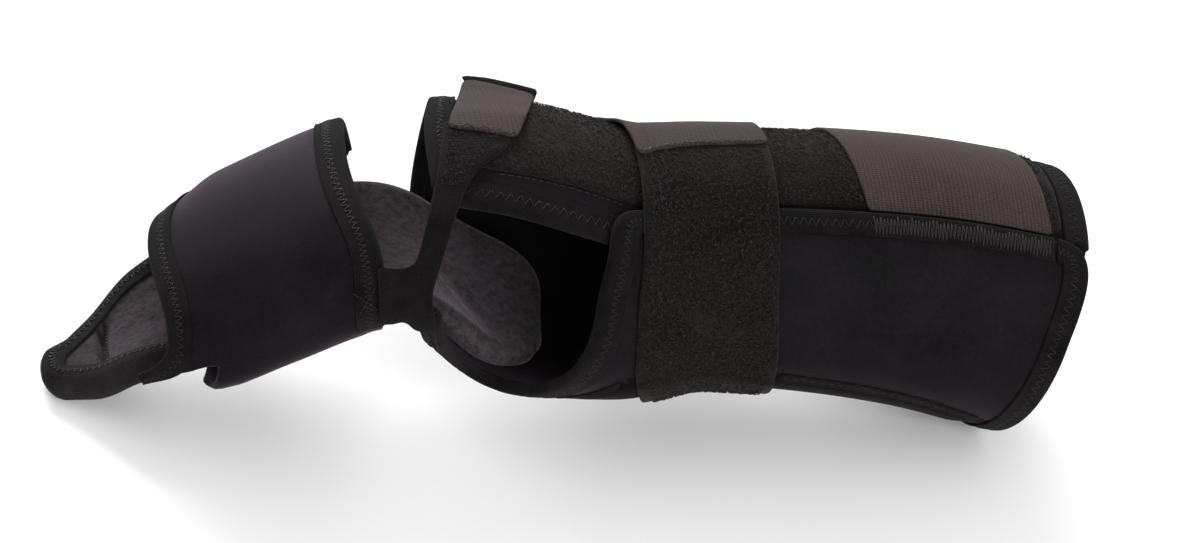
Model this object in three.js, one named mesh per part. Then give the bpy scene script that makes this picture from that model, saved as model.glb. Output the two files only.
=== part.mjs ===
// A resting splint for the right wrist, hand and fingers, in millimetres. It lies palm down on +Z,
// with the fingers towards -X and the thumb side towards -Y.
import * as THREE from "three";

// Thickness of the materials, the gap between pieces that are sewn or pressed together, and the
// slack between the faces of the cloth and a tape folded over its edge
const WALL = 2.6;
const TAPE = 0.7;
const PILE = 1.6;
const HOOK = 1.2;
const WEBBING = 1.8;
const PAD = 7.5;
const GAP = 0.35;
const SLACK = 0.65;

// Widths of the edge tapes on the outside of the cloth, and inside where they are tucked under
const TAPE_WIDTH = 7;
const TAPE_TUCK = 3.5;

// Middle of the splint's length and width, and the height of the surface under it, in the limb's
// own frame
const MID_LENGTH = 140.58;
const MID_WIDTH = -1.73;
const FLOOR = 1.5;

// Sections of the limb inside the splint, from fingertip to forearm: the place along it, the centre
// line, the half width, the rise to the back, the drop to the palm and the swell of the thumb's base
const LIMB = [
  { at: 0, x: -4, z: 12, halfWidth: 33, rise: 13, drop: 12, thumb: 0 },
  { at: 41, x: 34, z: 30, halfWidth: 37, rise: 15, drop: 14, thumb: 0 },
  { at: 68.5, x: 58, z: 43, halfWidth: 39, rise: 16, drop: 15.5, thumb: 0 },
  { at: 95, x: 82, z: 55, halfWidth: 41, rise: 17, drop: 18, thumb: 0 },
  { at: 117, x: 103, z: 59, halfWidth: 43, rise: 21, drop: 25, thumb: 4 },
  { at: 142, x: 128, z: 55, halfWidth: 43, rise: 25, drop: 29, thumb: 10 },
  { at: 172, x: 156.5, z: 46.5, halfWidth: 40, rise: 29, drop: 29.5, thumb: 4 },
  { at: 195, x: 179.5, z: 46, halfWidth: 37, rise: 31, drop: 29, thumb: 0 },
  { at: 252, x: 237, z: 44, halfWidth: 38.5, rise: 32.5, drop: 32.2, thumb: 0 },
  { at: 297, x: 281, z: 35.5, halfWidth: 40, rise: 34.5, drop: 35.5, thumb: 0 },
];
const THUMB_TURN = 135;
const THUMB_SPREAD = 70;

// Patterns are drawn flat: millimetres along the limb by degrees round it. A turn of 0 is the middle
// of the back, 90 the thumb side, 180 the palm and 270 the little-finger side.
const MM_PER_DEGREE = 0.65;
const GRID = { x: 13, y: 7.8 };
const GRID_START = { x: 8.637, y: 0.211 };
const CORNER_STEPS = 3;
const TAPE_STEP = 1;
const TINY = 1e-6;
const MIN_AREA = 1e-4;

// Lifts of the outer faces that lie on each other, above the limb's skin
const BOUND_WALL = WALL + SLACK + TAPE;
const FLAP_LIFT = BOUND_WALL + GAP;
const FLAP_SLOPE = { from: 47, to: 75 };
const ON_PILE = WALL + GAP + PILE + SLACK;
const ON_FLAP = FLAP_LIFT + BOUND_WALL + GAP;

// The body panel's cut edge, from the flap's corner at the forearm end and round the limb
const BODY_EDGE = [
  { at: 292, turn: 33, round: 10 },
  { at: 289.5, turn: 100, round: 30 },
  { at: 288.5, turn: 180, round: 30 },
  { at: 290, turn: 260, round: 30 },
  { at: 293, turn: 340, round: 20 },
  { at: 293, turn: 404, round: 10 },
  { at: 205, turn: 405, round: 20 },
  { at: 154, turn: 407, round: 20 },
  { at: 131, turn: 400, round: 15 },
  { at: 114, turn: 396, round: 8 },
  { at: 114, turn: 350, round: 15 },
  { at: 118, turn: 312, round: 15 },
  { at: 119, turn: 270, round: 15 },
  { at: 114.5, turn: 215, round: 20 },
  { at: 114, turn: 165, round: 15 },
  { at: 111.5, turn: 124, round: 6 },
  { at: 104.4, turn: 101, round: 4 },
  { at: 104, turn: 95, round: 3 },
  { at: 113, turn: 95, round: 4 },
  { at: 115.2, turn: 112, round: 6 },
  { at: 120, turn: 129, round: 8 },
  { at: 129, turn: 143, round: 9 },
  { at: 146, turn: 143, round: 12 },
  { at: 157, turn: 122, round: 12 },
  { at: 158.5, turn: 100, round: 20 },
  { at: 155, turn: 70, round: 20 },
  { at: 153.5, turn: 33, round: 9 },
];
const FLAP_CORNER = { at: 281, turn: 34 };
const END_TAPE_STOP = 391.5;
const BACK_TAPE_START = 170;

// The pile panel on the back, inside the body's tape and clear of the flap
const LOOP_EDGE = [
  { at: 284.5, turn: 28.5, round: 4 },
  { at: 282.5, turn: -62, round: 6 },
  { at: 126, turn: -46, round: 6 },
  { at: 122, turn: 20, round: 4 },
  { at: 140, turn: 22.5, round: 10 },
  { at: 165, turn: 28.5, round: 10 },
];

// The hook tab that closes the forearm: sewn to the flap's edge, pressed on the pile
const FOREARM_TAB_EDGE = [
  { at: 233, turn: 30.3, round: 1 },
  { at: 280.5, turn: 30.3, round: 1 },
  { at: 276.5, turn: -55, round: 5 },
  { at: 226, turn: -55, round: 5 },
];
const FOREARM_TAB_LIFT = [
  { turn: -60, lift: ON_PILE },
  { turn: 16, lift: ON_PILE },
  { turn: 31, lift: ON_PILE + 0.9 },
];

// The wrist strap, from its end on the back round the palm to the little-finger side, and its tab
const WRIST_STRAP_EDGE = [
  { at: 162.5, turn: -6, round: 2 },
  { at: 161.8, turn: 28, round: 12 },
  { at: 163, turn: 50, round: 12 },
  { at: 166, turn: 70, round: 12 },
  { at: 172.5, turn: 108, round: 12 },
  { at: 178, turn: 137, round: 12 },
  { at: 180, turn: 165, round: 12 },
  { at: 177, turn: 230, round: 12 },
  { at: 172, turn: 288, round: 4 },
  { at: 210, turn: 288, round: 4 },
  { at: 214.5, turn: 210, round: 12 },
  { at: 214.5, turn: 145, round: 12 },
  { at: 212.3, turn: 112, round: 12 },
  { at: 208, turn: 60, round: 12 },
  { at: 208.3, turn: 30, round: 12 },
  { at: 209, turn: -6, round: 2 },
];
const WRIST_STRAP_LIFT = [
  { turn: -10, lift: ON_PILE + 0.7 },
  { turn: 10, lift: ON_PILE + 1.8 },
  { turn: 28, lift: ON_FLAP + GAP },
  { turn: 45, lift: ON_FLAP + GAP },
  { turn: 60, lift: ON_FLAP - 2 },
  { turn: 78, lift: WALL + 2 * GAP },
  { turn: 110, lift: WALL + SLACK },
  { turn: 300, lift: WALL + SLACK },
];
const WRIST_TAB_EDGE = [
  { at: 162, turn: 5.5, round: 3 },
  { at: 209, turn: -1, round: 3 },
  { at: 206, turn: -58, round: 5 },
  { at: 158, turn: -58, round: 5 },
];
const WRIST_TAB_LIFT = [
  { turn: -60, lift: ON_PILE },
  { turn: -40, lift: ON_PILE },
  { turn: -20, lift: ON_PILE + WEBBING + 0.6 },
  { turn: -4, lift: ON_PILE + WEBBING + 1.7 },
  { turn: 10, lift: ON_PILE + WEBBING + 2.4 },
];

// The strap between thumb and first finger, from the palm's lobe to its tab over the knuckles
const WEB_STRAP_EDGE = [
  { at: 107.3, turn: 109, round: 2 },
  { at: 104.4, turn: 101.5, round: 2 },
  { at: 98.9, turn: 100.8, round: 1.5 },
  { at: 101.4, turn: 70, round: 1.5 },
  { at: 107, turn: 71.5, round: 4 },
  { at: 109.6, turn: 60, round: 6 },
  { at: 112.1, turn: 44.5, round: 6 },
  { at: 115, turn: 24, round: 6 },
  { at: 117.5, turn: -6, round: 2 },
  { at: 130.5, turn: -1, round: 2 },
  { at: 130, turn: 9, round: 5 },
  { at: 122, turn: 24, round: 6 },
  { at: 118.9, turn: 37, round: 6 },
  { at: 115.2, turn: 60, round: 6 },
  { at: 112.6, turn: 78, round: 6 },
  { at: 111.4, turn: 88, round: 5 },
  { at: 112.6, turn: 98, round: 5 },
  { at: 114.2, turn: 109, round: 2 },
];
const WEB_STRAP_LIFT = [
  { turn: -10, lift: ON_PILE },
  { turn: 32, lift: ON_PILE },
  { turn: 44, lift: 4 },
  { turn: 60, lift: 2 },
  { turn: 78, lift: 1.6 },
  { turn: 92, lift: BOUND_WALL + 2 * GAP },
  { turn: 115, lift: BOUND_WALL + 2 * GAP },
];
const KNUCKLE_TAB_EDGE = [
  { at: 117.8, turn: 1, round: 2 },
  { at: 131.5, turn: 6, round: 2 },
  { at: 141.5, turn: -41, round: 3 },
  { at: 124.5, turn: -48, round: 4 },
];
const KNUCKLE_TAB_LIFT = [
  { turn: -50, lift: ON_PILE + 5 },
  { turn: -37, lift: ON_PILE + 1.2 },
  { turn: -22, lift: ON_PILE + 0.5 },
  { turn: -7, lift: ON_PILE + WEBBING + SLACK },
  { turn: 10, lift: ON_PILE + WEBBING + SLACK },
];

// The finger cuff: its fingertip edge, the flap that passes under the pan, and its knuckle edge
const CUFF_EDGE = [
  { at: 47, turn: -104, round: 5 },
  { at: 43, turn: -55, round: 15 },
  { at: 40.6, turn: -15, round: 12 },
  { at: 39.8, turn: 8, round: 12 },
  { at: 41.8, turn: 45, round: 12 },
  { at: 40, turn: 70, round: 9 },
  { at: 34.5, turn: 82.5, round: 6 },
  { at: 27.4, turn: 89.6, round: 2 },
  { at: 34, turn: 91.8, round: 4 },
  { at: 40.5, turn: 95, round: 4 },
  { at: 46.3, turn: 92.5, round: 3 },
  { at: 50.2, turn: 95.5, round: 0 },
  { at: 42, turn: 132, round: 2 },
  { at: 45, turn: 258, round: 5 },
  { at: 92, turn: 258, round: 5 },
  { at: 95.8, turn: 140, round: 10 },
  { at: 97.2, turn: 101, round: 8 },
  { at: 100.5, turn: 58, round: 12 },
  { at: 96, turn: 8, round: 12 },
  { at: 96.5, turn: -60, round: 12 },
  { at: 96, turn: -104, round: 5 },
];
const TIP_TAPE = { before: 45, from: 89.2, to: -92 };
const KNUCKLE_TAPE = { after: 90, from: -98, to: 110 };
const CUFF_HANG = [
  { at: 27, lift: 1 },
  { at: 40, lift: 1.8 },
  { at: 48, lift: 3.6 },
  { at: 70, lift: 2.6 },
  { at: 100, lift: 1 },
];
const CUFF_HANG_TURN = { from: 85, to: 122 };
const CUFF_DIP = { depth: 4, from: 5, to: 55, near: 40, far: 62 };
const CUFF_TUCK = { depth: 3.2, near: 24, far: 50, from: 45, to: 96 };
const CUFF_LAP_TURN = { from: 205, to: 235 };

// The padded pan under palm and fingers: its middle and half width along its length
const PAN = [
  { at: -1.5, middle: -6, half: 6 },
  { at: 4, middle: -5, half: 10 },
  { at: 13, middle: -3.5, half: 17.5 },
  { at: 25, middle: -2.5, half: 26.5 },
  { at: 42, middle: 0, half: 32 },
  { at: 70, middle: 0, half: 33 },
  { at: 100, middle: 0, half: 32 },
  { at: 130, middle: 0, half: 26 },
  { at: 160, middle: 0, half: 21 },
];
const PAN_ROUND = 14;
const PAN_UNDER = { tip: 1.2, palm: -2.2, from: 12, to: 28 };
const PAN_TAPE_END = 46;
const PAN_SLACK = 1.1;
const PAN_STACK = PAN_UNDER.tip + PAN_SLACK + TAPE;

const MATERIALS = {
  neoprene: new THREE.MeshStandardMaterial({ color: 0x17151a, roughness: 0.6, metalness: 0 }),
  tape: new THREE.MeshStandardMaterial({ color: 0x0f0f11, roughness: 0.85, metalness: 0 }),
  pile: new THREE.MeshStandardMaterial({ color: 0x131214, roughness: 0.95, metalness: 0 }),
  hook: new THREE.MeshStandardMaterial({ color: 0x4a4642, roughness: 0.7, metalness: 0 }),
  padding: new THREE.MeshStandardMaterial({ color: 0x1d1d20, roughness: 0.8, metalness: 0 }),
};

// A smooth curve through one column of a table, level at the rows where the column turns back
function smooth(rows, key, by) {
  const last = rows.length - 1;
  const rate = (a, b) => (b[key] - a[key]) / (b[by] - a[by]);
  const slopes = rows.map((row, i) => {
    const before = rows[Math.max(i - 1, 0)];
    const after = rows[Math.min(i + 1, last)];
    const turnsBack = i > 0 && i < last && rate(before, row) * rate(row, after) <= 0;
    return turnsBack ? 0 : rate(before, after);
  });
  return (where) => {
    const next = rows.findIndex((row) => row[by] > where);
    const i = next < 0 ? last - 1 : Math.max(next - 1, 0);
    const span = rows[i + 1][by] - rows[i][by];
    const t = (where - rows[i][by]) / span;
    const ease = t * t * (3 - 2 * t);
    const bend = t * (1 - t) * span * ((1 - t) * slopes[i] - t * slopes[i + 1]);
    return rows[i][key] + (rows[i + 1][key] - rows[i][key]) * ease + bend;
  };
}

// The same, level before the first row and after the last
function levelled(rows, key, by) {
  const curve = smooth(rows, key, by);
  return (where) => curve(THREE.MathUtils.clamp(where, rows[0][by], rows.at(-1)[by]));
}

const limb = {};
for (const key of ["x", "z", "halfWidth", "rise", "drop", "thumb"]) {
  limb[key] = smooth(LIMB, key, "at");
}

// A point on the limb's skin
function skin(at, turn) {
  const angle = THREE.MathUtils.degToRad(turn);
  const side = Math.sin(angle);
  const height = Math.cos(angle);
  const fromThumb = Math.abs(THREE.MathUtils.euclideanModulo(turn, 360) - THUMB_TURN) / THUMB_SPREAD;
  const swell = fromThumb < 1 ? limb.thumb(at) * Math.cos((fromThumb * Math.PI) / 2) ** 2 : 0;
  const reach = (height > 0 ? limb.rise(at) : limb.drop(at)) + swell;
  const run = limb.x(at + 0.5) - limb.x(at - 0.5);
  const climb = limb.z(at + 0.5) - limb.z(at - 0.5);
  const up = (reach * height) / Math.hypot(run, climb);
  return new THREE.Vector3(
    limb.x(at) - climb * up,
    -(limb.halfWidth(at) + swell) * side,
    limb.z(at) + run * up,
  );
}

// A point lifted off the skin. Where the splint lies on a surface, its layers are pressed flat.
function place(at, turn, lift, stack = BOUND_WALL) {
  const step = 0.2;
  const along = skin(at + step, turn).sub(skin(at - step, turn));
  const round = skin(at, turn + step).sub(skin(at, turn - step));
  const point = skin(at, turn).addScaledVector(round.cross(along).normalize(), lift);
  point.x -= MID_LENGTH;
  point.y -= MID_WIDTH;
  point.z = Math.max(point.z - FLOOR, stack - lift);
  return point;
}

const turnOf = (spot) => spot.y / MM_PER_DEGREE;

// Lays a pattern on the limb, with an extra lift that may vary along it and round it
function laid(extra) {
  return (spot, lift) => place(spot.x, turnOf(spot), lift + extra(spot.x, turnOf(spot)));
}

// A closed pattern with its corners rounded. Its inside is on its left.
function outline(rows, across = "turn", scale = MM_PER_DEGREE) {
  const corners = rows.map((row) => new THREE.Vector2(row.at, row[across] * scale));
  const path = new THREE.Path();
  corners.forEach((corner, i) => {
    const toward = (other) => {
      const share = Math.min(0.499, rows[i].round / corner.distanceTo(other));
      return corner.clone().lerp(other, share);
    };
    const start = toward(corners.at(i - 1));
    const end = toward(corners[(i + 1) % corners.length]);
    if (i === 0) {
      path.moveTo(start.x, start.y);
    } else {
      path.lineTo(start.x, start.y);
    }
    if (rows[i].round > 0) {
      path.quadraticCurveTo(corner.x, corner.y, end.x, end.y);
    }
  });
  const points = path.getPoints(CORNER_STEPS);
  const apart = points.filter((point, i) => point.distanceTo(points.at(i - 1)) > 0.01);
  return THREE.ShapeUtils.area(apart) > 0 ? apart : apart.reverse();
}

// Adds a point wherever a pattern's edge crosses a line of the grid
function splitAtGrid(points, closed) {
  const result = [];
  const sides = closed ? points.length : points.length - 1;
  for (let i = 0; i < sides; i += 1) {
    const from = points[i];
    const to = points[(i + 1) % points.length];
    const cuts = [];
    for (const axis of ["x", "y"]) {
      const low = (Math.min(from[axis], to[axis]) - GRID_START[axis]) / GRID[axis];
      const high = (Math.max(from[axis], to[axis]) - GRID_START[axis]) / GRID[axis];
      for (let line = Math.ceil(low); line <= high; line += 1) {
        const value = GRID_START[axis] + line * GRID[axis];
        const share = (value - from[axis]) / (to[axis] - from[axis]);
        if (share > TINY && share < 1 - TINY) {
          cuts.push({ axis, value, share });
        }
      }
    }
    cuts.sort((a, b) => a.share - b.share);
    result.push(from.clone());
    for (const { axis, value, share } of cuts) {
      const point = from.clone().lerp(to, share);
      point[axis] = value;
      result.push(point);
    }
  }
  if (!closed) {
    result.push(points.at(-1).clone());
  }
  return result;
}

// The parts of a polygon on one side of a grid line
function clip(polygon, axis, value, sign) {
  const kept = polygon.map((point) => sign * (point[axis] - value) >= 0);
  if (kept.every(Boolean)) {
    return [polygon];
  }
  const runs = [];
  const first = kept.findIndex((inside, i) => inside && !kept.at(i - 1));
  for (let k = 0; first >= 0 && k < polygon.length; k += 1) {
    const i = (first + k) % polygon.length;
    const before = polygon.at(i - 1);
    if (kept[i] !== kept.at(i - 1)) {
      const share = (value - before[axis]) / (polygon[i][axis] - before[axis]);
      const cut = before.clone().lerp(polygon[i], share);
      cut[axis] = value;
      if (kept[i]) {
        runs.push([cut]);
      } else {
        runs.at(-1).push(cut);
      }
    }
    if (kept[i]) {
      runs.at(-1).push(polygon[i]);
    }
  }
  const other = axis === "x" ? "y" : "x";
  const ends = runs.flatMap((run) => [run[0], run.at(-1)]).sort((a, b) => a[other] - b[other]);
  const across = (spot) => ends[ends.indexOf(spot) ^ 1];
  const parts = [];
  while (runs.length > 0) {
    const part = runs.pop();
    while (across(part.at(-1)) !== part[0]) {
      const next = runs.findIndex((run) => run[0] === across(part.at(-1)));
      part.push(...runs.splice(next, 1)[0]);
    }
    parts.push(part.filter((point, i) => point.distanceTo(part.at(i - 1)) > TINY));
  }
  return parts;
}

// The parts of a polygon in one strip of the grid
function strips(polygon, axis, from) {
  return clip(polygon, axis, from, 1).flatMap((part) => clip(part, axis, from + GRID[axis], -1));
}

// A closed body from its points and triangles, turned so that its faces point out
function solid(points, faces) {
  const volume = faces.reduce((sum, [a, b, c]) => {
    return sum + points[a].dot(points[b].clone().cross(points[c]));
  }, 0);
  const index = faces.flatMap(([a, b, c]) => (volume > 0 ? [a, b, c] : [a, c, b]));
  const geometry = new THREE.BufferGeometry().setFromPoints(points);
  geometry.setIndex(index);
  geometry.computeVertexNormals();
  return geometry;
}

// A sheet of cloth cut to a pattern: two faces a thickness apart, joined along the cut edge
function sheet(pattern, lay, inner, outer) {
  const edge = splitAtGrid(pattern, true);
  const box = new THREE.Box2().setFromPoints(edge);
  const spots = [];
  const known = new Map();
  const indexOf = (spot) => {
    const key = `${spot.x.toFixed(4)} ${spot.y.toFixed(4)}`;
    if (!known.has(key)) {
      known.set(key, spots.length);
      spots.push(spot);
    }
    return known.get(key);
  };
  const first = {};
  for (const axis of ["x", "y"]) {
    const lines = Math.floor((box.min[axis] - GRID_START[axis]) / GRID[axis]);
    first[axis] = GRID_START[axis] + lines * GRID[axis];
  }
  const faces = [];
  for (let x = first.x; x < box.max.x; x += GRID.x) {
    const columns = strips(edge, "x", x);
    for (let y = first.y; y < box.max.y; y += GRID.y) {
      for (const cell of columns.flatMap((column) => strips(column, "y", y))) {
        if (cell.length > 2 && THREE.ShapeUtils.area(cell) > MIN_AREA) {
          for (const face of THREE.ShapeUtils.triangulateShape(cell, [])) {
            faces.push(face.map((i) => indexOf(cell[i])));
          }
        }
      }
    }
  }
  const sides = new Set(faces.flatMap(([a, b, c]) => [`${a} ${b}`, `${b} ${c}`, `${c} ${a}`]));
  const count = spots.length;
  const all = [...faces, ...faces.map(([a, b, c]) => [a + count, c + count, b + count])];
  for (const side of sides) {
    const [a, b] = side.split(" ").map(Number);
    if (!sides.has(`${b} ${a}`)) {
      all.push([b, a, a + count], [b, a + count, b + count]);
    }
  }
  const points = [...spots.map((spot) => lay(spot, outer)), ...spots.map((spot) => lay(spot, inner))];
  return solid(points, all);
}

// The step across a laid pattern that is square to its edge, for one millimetre into the cloth
function inwardStep(spot, tangent, lay, lift) {
  const reach = 0.5;
  const slope = (x, y) => {
    const shift = new THREE.Vector2(x, y).multiplyScalar(reach);
    const after = lay(spot.clone().add(shift), lift);
    return after.sub(lay(spot.clone().sub(shift), lift)).divideScalar(2 * reach);
  };
  const along = slope(1, 0);
  const round = slope(0, 1);
  const edge = along.clone().multiplyScalar(tangent.x).addScaledVector(round, tangent.y).normalize();
  const left = along.clone().multiplyScalar(-tangent.y).addScaledVector(round, tangent.x);
  left.addScaledVector(edge, -left.dot(edge)).normalize();
  const aa = along.dot(along);
  const ar = along.dot(round);
  const rr = round.dot(round);
  const spread = aa * rr - ar * ar;
  return new THREE.Vector2(
    (rr * along.dot(left) - ar * round.dot(left)) / spread,
    (aa * round.dot(left) - ar * along.dot(left)) / spread,
  );
}

// How far a tape reaches in from its edge, less where the cloth is narrow
function tapeReach(path, inward) {
  const reach = path.map((spot, i) => {
    const others = path.filter((other, j) => Math.abs(j - i) * TAPE_STEP > 2 * TAPE_WIDTH);
    const across = others.map((other) => other.clone().sub(spot));
    const facing = across.filter((away) => away.dot(inward[i]) > 0.8 * away.length() * inward[i].length());
    return Math.min(TAPE_WIDTH, ...facing.map((away) => 0.45 * away.length()));
  });
  return reach.map((own, i) => {
    const before = reach[Math.max(i - 1, 0)];
    const after = reach[Math.min(i + 1, reach.length - 1)];
    return (before + own + after) / 3;
  });
}

// A tape folded over an edge of a sheet, as a channel swept along that edge
function edgeTape(points, lay, inner, outer, slack = SLACK) {
  const path = [];
  for (const spot of points) {
    if (path.length === 0 || spot.distanceTo(path.at(-1)) > TAPE_STEP) {
      path.push(spot);
    }
  }
  const fold = -GAP - TAPE;
  const profile = [
    { inset: TAPE_WIDTH, lift: outer + slack },
    { inset: TAPE_WIDTH, lift: outer + slack + TAPE },
    { inset: TAPE_WIDTH / 2, lift: outer + slack + TAPE },
    { inset: fold, lift: outer + slack + TAPE },
    { inset: fold, lift: inner - slack - TAPE },
    { inset: TAPE_TUCK, lift: inner - slack - TAPE },
    { inset: TAPE_TUCK, lift: inner - slack },
    { inset: -GAP, lift: inner - slack },
    { inset: -GAP, lift: outer + slack },
    { inset: TAPE_WIDTH / 2, lift: outer + slack },
  ];
  const inward = path.map((spot, i) => {
    const before = path[Math.max(i - 1, 0)];
    const after = path[Math.min(i + 1, path.length - 1)];
    return inwardStep(spot, after.clone().sub(before).normalize(), lay, (inner + outer) / 2);
  });
  const reach = tapeReach(path, inward);
  const rings = path.map((spot, i) => profile.map(({ inset, lift }) => (
    lay(spot.clone().addScaledVector(inward[i], Math.min(inset, reach[i] * inset / TAPE_WIDTH)), lift)
  )));
  const sides = profile.length;
  const faces = [];
  for (let i = 0; i + 1 < rings.length; i += 1) {
    for (let j = 0; j < sides; j += 1) {
      const a = i * sides + j;
      const b = i * sides + ((j + 1) % sides);
      faces.push([a, b, b + sides], [a, b + sides, a + sides]);
    }
  }
  const end = (rings.length - 1) * sides;
  const quads = [[0, 1, 2, 9], [9, 2, 3, 8], [8, 3, 4, 7], [7, 4, 5, 6]];
  for (const [a, b, c, d] of quads) {
    faces.push([a, c, b], [a, d, c], [end + a, end + b, end + c], [end + a, end + c, end + d]);
  }
  return solid(rings.flat(), faces);
}

// The run of a closed pattern's edge from where one test first holds to where another does
function edgeRun(points, starts, stops) {
  const from = points.findIndex((spot, i) => starts(spot) && !starts(points.at(i - 1)));
  const turned = [...points.slice(from), ...points.slice(0, from)];
  return turned.slice(0, turned.findIndex(stops));
}

const splint = new THREE.Group();
function add(name, geometry, material) {
  const mesh = new THREE.Mesh(geometry, material);
  mesh.name = name;
  splint.add(mesh);
}

// A strap or tab with a lift of its own round the limb
function strap(name, edge, lifts, thickness, material) {
  const lift = levelled(lifts, "lift", "turn");
  const lay = laid((at, turn) => lift(turn));
  add(name, sheet(outline(edge), lay, 0, thickness), material);
}

// Body panel, whose flap on the thumb side lifts over the panel's other edge
const flapLay = laid((at, turn) => {
  return FLAP_LIFT * (1 - THREE.MathUtils.smoothstep(turn, FLAP_SLOPE.from, FLAP_SLOPE.to));
});
const bodyEdge = splitAtGrid(outline(BODY_EDGE), true);
add("body_wrap", sheet(bodyEdge, flapLay, 0, WALL), MATERIALS.neoprene);

// Body tapes: one round the forearm end, one along all the other edges that show
const atFlapCorner = (spot) => turnOf(spot) < FLAP_CORNER.turn && spot.x > FLAP_CORNER.at;
const atBackEdge = (spot) => turnOf(spot) > END_TAPE_STOP && spot.x < BACK_TAPE_START;
const endRun = edgeRun(bodyEdge, atFlapCorner, (spot) => turnOf(spot) > END_TAPE_STOP);
const sideRun = edgeRun(bodyEdge, atBackEdge, atFlapCorner);
add("end_binding", edgeTape(endRun, flapLay, 0, WALL), MATERIALS.tape);
add("edge_binding", edgeTape(sideRun, flapLay, 0, WALL), MATERIALS.tape);

// Pile panel, straps and tabs
add("loop_panel", sheet(outline(LOOP_EDGE), laid(() => WALL + GAP), 0, PILE), MATERIALS.pile);
strap("forearm_tab", FOREARM_TAB_EDGE, FOREARM_TAB_LIFT, HOOK, MATERIALS.hook);
strap("wrist_strap", WRIST_STRAP_EDGE, WRIST_STRAP_LIFT, WEBBING, MATERIALS.pile);
strap("wrist_tab", WRIST_TAB_EDGE, WRIST_TAB_LIFT, HOOK, MATERIALS.hook);
strap("web_strap", WEB_STRAP_EDGE, WEB_STRAP_LIFT, WEBBING, MATERIALS.pile);
strap("knuckle_tab", KNUCKLE_TAB_EDGE, KNUCKLE_TAB_LIFT, HOOK, MATERIALS.hook);

// Finger cuff, whose lower flap hangs under the pan and laps over the far wall. It dips over the
// little finger's tip, and the lobe at its near corner tucks in towards the pan.
const hang = levelled(CUFF_HANG, "lift", "at");
const cuffLay = laid((at, turn) => {
  const under = THREE.MathUtils.smoothstep(turn, CUFF_HANG_TURN.from, CUFF_HANG_TURN.to);
  const lap = THREE.MathUtils.smoothstep(turn, CUFF_LAP_TURN.from, CUFF_LAP_TURN.to);
  const tip = 1 - THREE.MathUtils.smoothstep(at, CUFF_DIP.near, CUFF_DIP.far);
  const dip = CUFF_DIP.depth * tip * THREE.MathUtils.smoothstep(-turn, CUFF_DIP.from, CUFF_DIP.to);
  const lobe = 1 - THREE.MathUtils.smoothstep(at, CUFF_TUCK.near, CUFF_TUCK.far);
  const tuck = CUFF_TUCK.depth * lobe * THREE.MathUtils.smoothstep(turn, CUFF_TUCK.from, CUFF_TUCK.to);
  return THREE.MathUtils.lerp(hang(at) * under, WALL + GAP, lap) - dip - tuck;
});
const cuffEdge = splitAtGrid(outline(CUFF_EDGE), true);
add("finger_cuff", sheet(cuffEdge, cuffLay, 0, WALL), MATERIALS.neoprene);

// Cuff tapes
const tipRun = edgeRun(
  cuffEdge,
  (spot) => spot.x < TIP_TAPE.before && turnOf(spot) < TIP_TAPE.from,
  (spot) => turnOf(spot) < TIP_TAPE.to,
);
const knuckleRun = edgeRun(
  cuffEdge,
  (spot) => spot.x > KNUCKLE_TAPE.after && turnOf(spot) > KNUCKLE_TAPE.from,
  (spot) => turnOf(spot) > KNUCKLE_TAPE.to,
);
add("cuff_binding_tip", edgeTape(tipRun, cuffLay, 0, WALL), MATERIALS.tape);
add("cuff_binding_knuckle", edgeTape(knuckleRun, cuffLay, 0, WALL), MATERIALS.tape);

// Padded pan, drawn as millimetres along the limb by millimetres across it
function panLay(spot, lift) {
  const turn = 180 + THREE.MathUtils.radToDeg(Math.asin(spot.y / limb.halfWidth(spot.x)));
  const ease = THREE.MathUtils.smoothstep(spot.x, PAN_UNDER.from, PAN_UNDER.to);
  const under = THREE.MathUtils.lerp(PAN_UNDER.tip, PAN_UNDER.palm, ease);
  return place(spot.x, turn, under + lift, PAN_STACK);
}
const panSide = (side) => PAN.map(({ at, middle, half }) => {
  return { at, across: middle + side * half, round: PAN_ROUND };
});
const panEdge = splitAtGrid(outline([...panSide(-1), ...panSide(1).reverse()], "across", 1), true);
add("finger_pan", sheet(panEdge, panLay, -PAD, 0), MATERIALS.padding);

// Pan tape, round the fingertip end
const panRun = edgeRun(
  panEdge,
  (spot) => spot.y > 0 && spot.x < PAN_TAPE_END,
  (spot) => spot.y < 0 && spot.x > PAN_TAPE_END,
);
add("pan_binding", edgeTape(panRun, panLay, -PAD, 0, PAN_SLACK), MATERIALS.tape);

export default splint;
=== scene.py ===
import math

import bmesh
import bpy
import numpy as np
from mathutils import Matrix, Vector
from mathutils.bvhtree import BVHTree
from mathutils.geometry import delaunay_2d_cdt
from mathutils.kdtree import KDTree


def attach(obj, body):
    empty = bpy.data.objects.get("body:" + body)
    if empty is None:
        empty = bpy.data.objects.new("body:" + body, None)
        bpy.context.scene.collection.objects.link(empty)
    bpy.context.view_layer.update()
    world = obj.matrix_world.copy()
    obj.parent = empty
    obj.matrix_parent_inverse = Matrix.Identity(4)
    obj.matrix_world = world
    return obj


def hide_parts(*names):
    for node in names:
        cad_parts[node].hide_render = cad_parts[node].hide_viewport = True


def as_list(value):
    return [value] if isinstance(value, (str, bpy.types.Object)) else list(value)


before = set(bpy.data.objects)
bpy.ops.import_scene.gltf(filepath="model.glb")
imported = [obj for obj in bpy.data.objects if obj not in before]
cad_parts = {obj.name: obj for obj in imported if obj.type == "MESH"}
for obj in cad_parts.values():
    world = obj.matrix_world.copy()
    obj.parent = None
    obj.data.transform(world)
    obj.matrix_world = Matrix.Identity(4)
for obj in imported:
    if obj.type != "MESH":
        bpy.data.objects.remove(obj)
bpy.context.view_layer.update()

rng = np.random.default_rng(7)

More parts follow.
